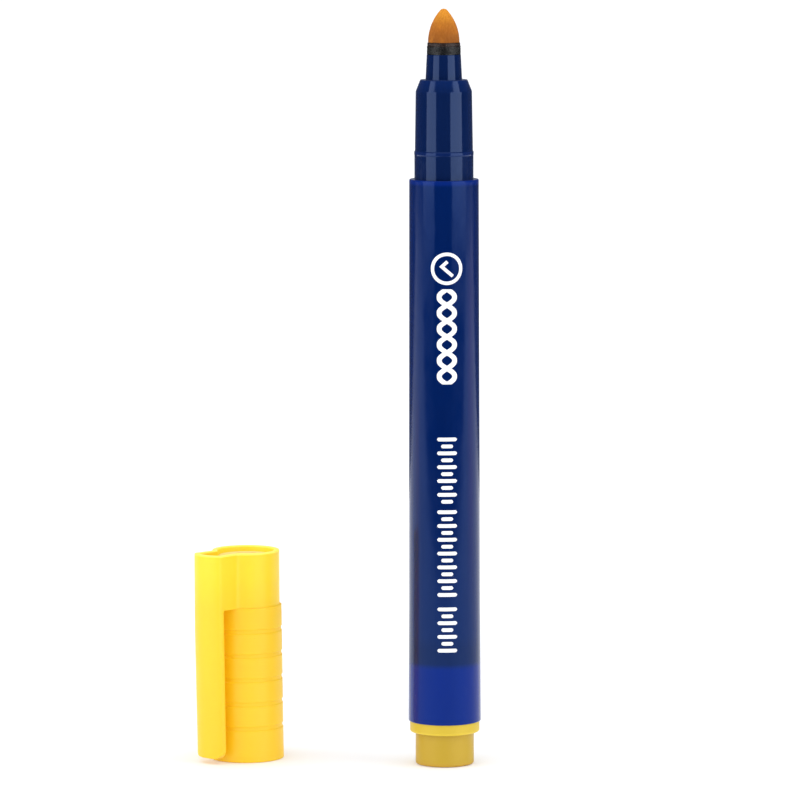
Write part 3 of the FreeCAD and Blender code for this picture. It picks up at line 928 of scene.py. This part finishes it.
cap = {
    "heading": 225.0,
    "mouthRadius": 6.33, "mouthEdge": 0.2, "skirtTopRadius": 6.05, "skirtHeight": 26.42, "skirtEdge": 0.07,
    "crownRadius": 5.72, "wall": 0.85, "rimEdge": 0.18, "rimInnerEdge": 0.12,
    "hold": 0.08, "outerHold": 0.1, "lipHold": 0.06,
    "boreRadius": 5.05, "boreDepth": 17.0, "crownBore": 4.87, "leadIn": 0.3,
    "snapFoot": 3.95, "snapTop": 4.85, "snapDepth": 0.1,
    "grooves": (5.78, 9.935, 14.09, 18.245, 22.4), "grooveWidth": 0.85, "grooveDepth": 0.15,
    "lobeHalf": 3.2, "lobeReach": 10.2, "faceRadius": 5.0, "lobeCorner": 0.9, "blend": 1.3,
    "pocketBlend": 0.3, "pocketCorner": 0.15, "pocketFloor": 29.47,
    "colour": "e6c31a", "paleColour": "e9c61e", "shadeColour": "e4ae0a", "lineColour": "d99a08",
    "speckColour": "a87008", "upperLitColour": "ebd622",
    "lowerColour": "deb010", "rimColour": "fff070", "innerLitColour": "f2d024",
    "glowColour": "ffb800", "deepGlowColour": "ffa800", "innerGlow": "ffe050", "depthGlow": 0.15,
}


def skirtRadius(height):
    return cap["mouthRadius"] + (cap["skirtTopRadius"] - cap["mouthRadius"]) * height / cap["skirtHeight"]


def capPlace(u, v, height):
    # from the cap's own frame, clip towards +u, to where the cap stands
    heading = math.radians(cap["heading"])
    return (capAxis[0] + u * math.cos(heading) - v * math.sin(heading),
            capAxis[1] + u * math.sin(heading) + v * math.cos(heading), height)


def cornerPlace(face, corner, half):
    # where a rounded corner has its centre, out and sideways from the centre of the lobe's face
    side = half - corner
    return math.sqrt((face - corner) ** 2 - side ** 2), side


def lobeOutline(circle, half, corner, face, reach, blend):
    # a round crown with a lobe towards +u: face, corner, flank, hollow blend and circle, then mirrored
    faceCentre = reach - face
    cornerReach, cornerSide = cornerPlace(face, corner, half)
    swing = math.atan2(cornerSide, cornerReach)
    cornerCentre = (faceCentre + cornerReach, cornerSide)
    blendReach = math.sqrt((circle + blend) ** 2 - (half + blend) ** 2)
    meet = math.atan2(half + blend, blendReach)
    side = arc((faceCentre, 0), face, 0, swing, 8)
    side += arc(cornerCentre, corner, swing, math.pi / 2, 8)[1:]
    for step in range(1, 5):
        side.append(Vector((cornerCentre[0] + (blendReach - cornerCentre[0]) * step / 5, half)))
    side += arc((blendReach, half + blend), blend, -math.pi / 2, meet - math.pi, 9)
    side += arc((0, 0), circle, meet, math.pi, 52)[1:]
    mirrored = [Vector((point.x, -point.y)) for point in reversed(side[1:-1])]
    return side + mirrored


def inset(outline, distance):
    # the outline moved in along its own normals
    moved = []
    count = len(outline)
    for index, point in enumerate(outline):
        along = outline[(index + 1) % count] - outline[index - 1]
        moved.append(point - Vector((along.y, -along.x)).normalized() * distance)
    return moved


def circleLike(outline, radius):
    # a circle whose points stand at the same angles as the outline's
    return [point * (radius / point.length) for point in outline]


def paintCap():
    paint = Paint("cap_yellow_satin", capAxis)
    patchy = paint.cloud(0.22, 4, 0.55)
    grain = paint.cloud(10, 2, 0.6)
    skirt = paint.ramp(paint.height, cap["skirtHeight"] + 0.05, cap["skirtHeight"] - 0.05)
    reach = paint.reach()
    onSkirt = skirt * paint.ramp(reach, cap["mouthRadius"] + 0.15, cap["mouthRadius"] + 0.05)
    paint.colour = paint.mix(patchy * 0.25, cap["colour"], cap["paleColour"])
    paint.over(onSkirt * 0.25, cap["shadeColour"])
    # painted light and shade: the cap turns a lighter lemon towards its top, and the clip's blade darker
    # towards its foot
    paint.over(paint.ramp(paint.height, 25, 34) * 0.6, cap["upperLitColour"])
    paint.over(paint.ramp(paint.height, 26, 2) * (1 - onSkirt) * 0.3, cap["lowerColour"])
    # painted light: the wall's inside is painted lighter for light that gets in at the open top, and the thin
    # rim carries a painted highlight
    inner = paint.ramp(reach, cap["crownBore"] + 0.12, cap["crownBore"] + 0.04)
    inner = inner * paint.ramp(paint.height, cap["pocketFloor"], cap["pocketFloor"] + 2)
    rim = paint.ramp(paint.height, capHigh.z - 0.35, capHigh.z - 0.08)
    paint.over(inner, cap["innerLitColour"])
    paint.over(rim * 0.8, cap["rimColour"])
    # painted light: the whole cap is given a faint deep orange glow, paler where the inside and the rim are
    # painted lit, for light carried through the plastic
    depth = paint.mix(patchy * 0.3, cap["glowColour"], cap["deepGlowColour"])
    # fine level lines left on the grip by its mould, and faint upright draw marks above it
    line = paint.cloud(1.0, 3, 0.7, stretch=(0.06, 0.06, 5.5))
    draw = paint.cloud(1.0, 2, 0.6, stretch=(3, 3, 0.08))
    specks = paint.ramp(paint.cloud(2.6, 1), 0.79, 0.82)
    paint.over(onSkirt * paint.ramp(line, 0.55, 0.75) * 0.12, cap["lineColour"])
    paint.over(specks * 0.35, cap["speckColour"])
    relief = 0.35 * grain + 0.5 * patchy + onSkirt * line * 0.9 + (1 - onSkirt) * draw * 0.4
    return paint.finish({
        "Roughness": paint.ramp(patchy, 0.3, 0.75, 0.34, 0.42) + 0.05 * onSkirt,
        "IOR": 1.48,
        # painted light: the cap's faint glow
        "Emission Color": paint.mix(paint.maths("MAXIMUM", inner, rim), depth, cap["innerGlow"]),
        "Emission Strength": cap["depthGlow"],
        "Subsurface Weight": 0.3,
        "Subsurface Radius": (1.0, 0.55, 0.1),
        "Subsurface Scale": 0.0012,
        "Normal": paint.bump(relief, 0.008),
    })


capYellow = paintCap()


def makeCapShell():
    outside = lobeOutline(cap["crownRadius"], cap["lobeHalf"], cap["lobeCorner"], cap["faceRadius"],
                          cap["lobeReach"], cap["blend"])
    inside = lobeOutline(cap["crownBore"], cap["lobeHalf"] - cap["wall"], cap["pocketCorner"],
                         cap["faceRadius"] - cap["wall"], cap["lobeReach"] - cap["wall"], cap["pocketBlend"])
    levels = []

    def add(outline, height):
        levels.append([(point.x, point.y, height) for point in outline])

    def addCircle(outline, radius, height):
        add(circleLike(outline, radius), height)

    edge, hold, outerHold = cap["mouthEdge"], cap["hold"], cap["outerHold"]
    for sine, cosine in quarter(5):
        addCircle(outside, cap["mouthRadius"] - edge * (1 - sine), edge * (1 - cosine))
    addCircle(outside, skirtRadius(edge + outerHold), edge + outerHold)
    half, depth = cap["grooveWidth"] / 2, cap["grooveDepth"]
    for middle in cap["grooves"]:
        low, high = middle - half, middle + half
        for at, inward, up in ((low - hold, 0, 0), (low, 0, 0), (low, depth, depth),
                               (high, depth, -depth), (high, 0, 0), (high + hold, 0, 0)):
            addCircle(outside, skirtRadius(at) - inward, at + up)
    top, lip = cap["skirtHeight"], cap["skirtEdge"]
    addCircle(outside, cap["skirtTopRadius"], top - lip - cap["lipHold"])
    for sine, cosine in quarter(3):
        addCircle(outside, cap["skirtTopRadius"] - lip * (1 - cosine), top - lip * (1 - sine))
    add(outside, top)
    rim, soft = capHigh.z, cap["rimEdge"]
    add(outside, rim - soft - outerHold)
    for sine, cosine in quarter(6):
        add(inset(outside, soft * (1 - cosine)), rim - soft * (1 - sine))
    soft = cap["rimInnerEdge"]
    for sine, cosine in quarter(5):
        add(inset(inside, -soft * (1 - sine)), rim - soft * (1 - cosine))
    floor = cap["pocketFloor"]
    for height in (rim - soft - hold, floor + hold, floor):
        add(inside, height)
    bore, wide = cap["boreRadius"], cap["boreRadius"] + cap["snapDepth"]
    for radius, height in (
            (cap["crownBore"], floor), (cap["crownBore"], cap["boreDepth"]), (bore, cap["boreDepth"]),
            (bore, cap["snapTop"]), (wide, cap["snapTop"] - cap["snapDepth"]),
            (wide, cap["snapFoot"] + cap["snapDepth"]), (bore, cap["snapFoot"]), (bore, cap["leadIn"]),
            (bore + cap["leadIn"], 0)):
        addCircle(inside, radius, height)
    shape = bmesh.new()
    rings = [[shape.verts.new(capPlace(*point)) for point in level] for level in levels]
    joinRings(shape, rings, closed=True)
    piece = finished("cap_shell_body", shape, 35)
    place(piece, "cap", "cap_shell", capYellow)


makeCapShell()
print("cap shell lofted")


clip = {
    "bend": 22.62, "lean": 0.5, "tipCorner": 1.6, "rootInner": 8.18, "tipInner": 7.76, "rootFillet": 0.35,
    "innerEdge": 0.15, "tipEdge": 0.12, "bendsBelow": 21.0, "rootZone": 1.2, "levelStep": 0.5,
}


def makeClipBlade():
    root, tip = clipHigh.z, clipLow.z
    face, corner, reach = cap["faceRadius"], cap["lobeCorner"], cap["lobeReach"]
    cornerReach, cornerSide = cornerPlace(face, corner, cap["lobeHalf"])
    onFace = cornerSide * face / (face - corner)
    fillet, edge = clip["rootFillet"], clip["innerEdge"]
    tipEdge, tipCorner = clip["tipEdge"], clip["tipCorner"]
    cut = 0.29                  # of an edge's radius, where its rounding is half way round

    def faceAt(side, lean):
        # how far out the blade's face stands at a distance from its middle line
        side = abs(side)
        if side <= onFace:
            return reach - face - lean + math.sqrt(face ** 2 - side ** 2)
        rise = math.sqrt(max(corner ** 2 - (side - cornerSide) ** 2, 0))
        return reach - face - lean + cornerReach + rise

    def level(height):
        lean = clip["lean"] * max(0.0, clip["bend"] - height) / (clip["bend"] - tip)
        inner = clip["tipInner"] + (clip["rootInner"] - clip["tipInner"]) * (height - tip) / (root - tip)
        into = fillet - (root - height)
        if into > 0:
            inner -= fillet - math.sqrt(fillet ** 2 - into ** 2)
        wide = cap["lobeHalf"]
        below = tipCorner - (height - tip)
        if below > 0:
            wide -= tipCorner - math.sqrt(tipCorner ** 2 - below ** 2)
        shrink = tipEdge * max(0.0, 1 - (height - tip) / tipEdge)
        wide -= shrink
        inner += shrink
        outer = faceAt(wide, lean) - shrink
        flank = [(inner + edge * cut, wide - edge * cut), (inner + edge, wide)]
        flank += [(inner + edge + (outer - inner - edge) * step / 4, wide) for step in (1, 2, 3)]
        front = []
        for step in range(-14, 15):
            side = -wide * math.sin(math.pi / 2 * step / 14)
            front.append((faceAt(side, lean) - shrink, side))
        back = [(inner, (wide - edge) * step / 3) for step in range(-3, 4)]
        points = back + flank + front + [(u, -v) for u, v in reversed(flank)]
        return [capPlace(u, v, height) for u, v in points]

    # levels crowd together where the tip and the root are rounded
    heights = [tip + tipEdge * step / 3 for step in range(4)]
    heights += [tip + tipEdge + (tipCorner - tipEdge) * (step / 10) ** 1.6 for step in range(1, 11)]
    while heights[-1] < root - clip["rootZone"]:
        heights.append(heights[-1] + clip["levelStep"])
    heights += [root - fillet + fillet * sine for sine, _ in quarter(7)]
    shape = bmesh.new()
    rings = [[shape.verts.new(point) for point in level(height)] for height in heights]
    joinRings(shape, rings, closed=False)
    shape.faces.new(rings[0])
    shape.faces.new(rings[-1])
    piece = finished("clip_blade", shape, 40)
    piece.data.materials.append(capYellow)
    at = Vector(capPlace(reach, 0, root)) * mm
    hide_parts("cap_clip")
    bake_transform(piece)


makeClipBlade()
print("clip blade lofted")


liner = {
    "sealRadius": 3.135, "sealWall": 0.7, "skirtRadius": 4.85, "skirtWall": 0.6, "skirtFoot": 27.4,
    "discFoot": 33.4, "discTop": 34.85, "bevel": 0.25, "dome": 0.25, "sealEdge": 0.12, "discEdge": 0.08,
    "ringInner": 1.4, "ringOuter": 1.7, "ringDepth": 0.12, "gateRadius": 0.3,
    "colour": "f7dc7c", "paleColour": "fbe9a6", "stainColour": "e2b64e",
}


def paintLiner():
    paint = Paint("inner_cap_cream", capAxis)
    patchy = paint.cloud(0.7, 4, 0.6)
    reach = paint.reach()
    ring = paint.band(reach, liner["ringInner"] - 0.1, liner["ringOuter"] + 0.15, 0.2) * 0.5
    flow = paint.ramp(paint.cloud(1.1, 3, stretch=(0.5, 1.6, 1)), 0.45, 0.7)
    paint.colour = paint.mix(patchy * 0.5, liner["colour"], liner["paleColour"])
    paint.over(ring + 0.35 * flow, liner["stainColour"])
    return paint.finish({"Roughness": paint.ramp(patchy, 0.3, 0.75, 0.38, 0.52), "IOR": 1.47,
                         "Normal": paint.bump(patchy + 0.4 * paint.cloud(8, 2), 0.02)})


def makeInnerCap():
    skirt, seal, gate = liner["skirtRadius"], liner["sealRadius"], liner["gateRadius"]
    inner, outer = liner["ringInner"], liner["ringOuter"]
    face = skirt - liner["bevel"]
    dome = (face ** 2 + liner["dome"] ** 2) / (2 * liner["dome"])
    peak = liner["discTop"] + liner["dome"]
    ringFloor = peak - liner["ringDepth"]

    def onDome(radius):
        return radius, peak - dome + math.sqrt(dome ** 2 - radius ** 2)

    outline = rounded([
        (0, liner["discFoot"]),
        (seal, liner["discFoot"]),
        (seal, linerLow.z, liner["sealEdge"]),
        (seal + liner["sealWall"], linerLow.z, liner["sealEdge"]),
        (seal + liner["sealWall"], liner["discFoot"]),
        (skirt - liner["skirtWall"], liner["discFoot"]),
        (skirt - liner["skirtWall"], liner["skirtFoot"]),
        (skirt, liner["skirtFoot"]),
        (skirt, liner["discTop"] - liner["bevel"], liner["discEdge"]),
        (face, liner["discTop"], liner["discEdge"]),
    ], hold=0.04)
    outline += [onDome(face - (face - outer) * step / 8) for step in range(1, 9)]
    # the gate's ring, and the small dent where the gate was cut
    outline += [(outer - 0.05, ringFloor), (inner + 0.05, ringFloor), onDome(inner), onDome(1.0),
                (gate + 0.05, onDome(gate)[1]), (gate, peak - 0.05), (0.1, peak - 0.06), (0, peak - 0.06)]
    piece = turned("inner_cap_liner", outline, capAxis, around=120)
    place(piece, "cap", "inner_cap", paintLiner())


makeInnerCap()
print("inner cap turned")


studio = {
    "floorSize": 16.0, "tableSide": 1.2, "tableFront": -0.232, "tableRear": 0.35,
    "floorLevel": -0.06, "tableLevel": -0.04, "floorGlow": 0.36, "nearGlow": "787a82",
    "farGlow": "ffffff", "floorColour": "f2f3f6", "floorPale": "f8f8f6", "glowSpan": (50, 900),
    "worldDiffuse": 0.86, "worldFront": 0.01, "worldSide": 0.1, "worldFar": 0.2, "worldAbove": 0.8,
    "mirrorTint": (0.8, 0.86, 1.0, 1.0),
    "stripDistance": 0.785, "stripFoot": 0.03, "stripHeight": 0.67, "stripTurn": (-53.0, 51.0),
    "stripWidth": (0.60, 0.74), "stripGlow": (2.3, 2.5),
    "topPower": 6.0, "topHeight": 1.3, "topSize": 1.6,
    "fillPower": 4.5, "fillSize": 1.2, "fillAt": (-0.25, -1.5, 1.0),
    "sidePower": (5.5, 6.5), "sideSize": 1.0, "sideAt": (1.3, -0.35, 0.6),
}


def paintFloor():
    paint = Paint("studio_floor")
    faint = paint.cloud(0.02, 3)
    paint.colour = paint.mix(faint * 0.3, studio["floorColour"], studio["floorPale"])
    glow = paint.mix(paint.ramp(paint.reach(), *studio["glowSpan"]), studio["nearGlow"], studio["farGlow"])
    return paint.finish({"Roughness": paint.ramp(faint, 0.3, 0.7, 0.5, 0.6),
                         "Emission Color": glow, "Emission Strength": studio["floorGlow"],
                         "Specular IOR Level": 0.1})


def makeSheet(name, left, right, front, rear, level, finish, mirrored):
    mesh = bpy.data.meshes.new(name)
    corners = [(left, front, level * mm), (right, front, level * mm),
               (right, rear, level * mm), (left, rear, level * mm)]
    mesh.from_pydata(corners, [], [(0, 1, 2, 3)])
    mesh.materials.append(finish)
    sheet = linked(name, mesh)
    sheet.visible_glossy = mirrored


def makeFloor():
    # a white table that the gloss mirrors, on a floor of the same white that it doesn't
    finish = paintFloor()
    half, side = studio["floorSize"] / 2, studio["tableSide"]
    makeSheet("studio_floor", -half, half, -half, half, studio["floorLevel"], finish, False)
    makeSheet("studio_table", -side, side, studio["tableFront"], studio["tableRear"], studio["tableLevel"],
              finish, True)


def makeWorld():
    world = bpy.data.worlds.new("studio_world")
    world.use_nodes = True
    bpy.context.scene.world = world
    recipe = Recipe(world.node_tree)
    towards = recipe.node("ShaderNodeTexCoord", None, None, "Generated")
    y, z = recipe.split(towards)[1:]
    # mirrored rays meet a dark front, lighter sides, and bright panels behind and above
    seen = recipe.ramp(y, -0.15, 0.6, studio["worldFront"], studio["worldSide"])
    seen = seen + recipe.ramp(y, 0.85, 0.98, 0.0, studio["worldFar"])
    seen = seen + recipe.ramp(z, 0.62, 0.85, 0.0, studio["worldAbove"])
    mirrored = recipe.node("ShaderNodeLightPath", None, None, "Is Glossy Ray")
    strength = mirrored * seen + (1 - mirrored) * studio["worldDiffuse"]
    tone = recipe.mix(mirrored, (1.0, 1.0, 1.0, 1.0), studio["mirrorTint"])
    glow = recipe.node("ShaderNodeBackground", None, {"Color": tone, "Strength": strength})
    recipe.node("ShaderNodeOutputWorld", None, {"Surface": glow})


def makeLight(name, at, towards, width, height, power, mirroredOnly=False):
    lamp = bpy.data.lights.new(name, "AREA")
    lamp.shape = "RECTANGLE"
    lamp.size = width
    lamp.size_y = height
    lamp.energy = power
    light = linked(name, lamp)
    light.location = at
    light.rotation_euler = (Vector(towards) - Vector(at)).to_track_quat("-Z", "Y").to_euler()
    light.visible_glossy = mirroredOnly
    light.visible_diffuse = not mirroredOnly
    light.visible_camera = False


def makeLights():
    tall, away = studio["stripHeight"], studio["stripDistance"]
    middle = studio["stripFoot"] + tall / 2
    strips = zip(("left", "right"), studio["stripTurn"], studio["stripWidth"], studio["stripGlow"])
    for side, turn, width, glow in strips:
        angle = math.radians(turn)
        at = (away * math.sin(angle), -away * math.cos(angle), middle)
        power = glow * math.pi * width * tall
        makeLight(f"strip_{side}", at, (0, 0, middle), width, tall, power, mirroredOnly=True)
    size = studio["topSize"]
    makeLight("top_soft", (0, 0.1, studio["topHeight"]), (0, 0, 0), size, size, studio["topPower"])
    across, along, up = studio["sideAt"]
    size = studio["sideSize"]
    for name, side, power in zip(("side_left", "side_right"), (-across, across), studio["sidePower"]):
        makeLight(name, (side, along, up), (0, 0, 0.06), size, size, power)
    size = studio["fillSize"]
    makeLight("fill_soft", studio["fillAt"], (0, 0, 0.05), size, size, studio["fillPower"])


camera = {"x": -7.47, "distance": 950.0, "height": 168.0, "aimHeight": 62.03, "lens": 254.9, "roll": -0.13}


def makeCamera():
    data = bpy.data.cameras.new("studio_camera")
    data.sensor_width = 36.0
    data.lens = camera["lens"]
    data.clip_start = 0.01
    data.clip_end = 50.0
    view = linked("studio_camera", data)
    at = Vector((camera["x"], -camera["distance"], camera["height"])) * mm
    aim = Vector((camera["x"], 0, camera["aimHeight"])) * mm
    view.location = at
    level = (aim - at).to_track_quat("-Z", "Y").to_matrix()
    tipped = Matrix.Rotation(math.radians(camera["roll"]), 3, "Z")
    view.rotation_euler = (level @ tipped).to_euler()
    bpy.context.scene.camera = view


makeFloor()
makeWorld()
makeLights()
makeCamera()
bpy.context.scene.view_settings.view_transform = "Standard"
bpy.context.scene.view_settings.look = "None"
print("studio set")
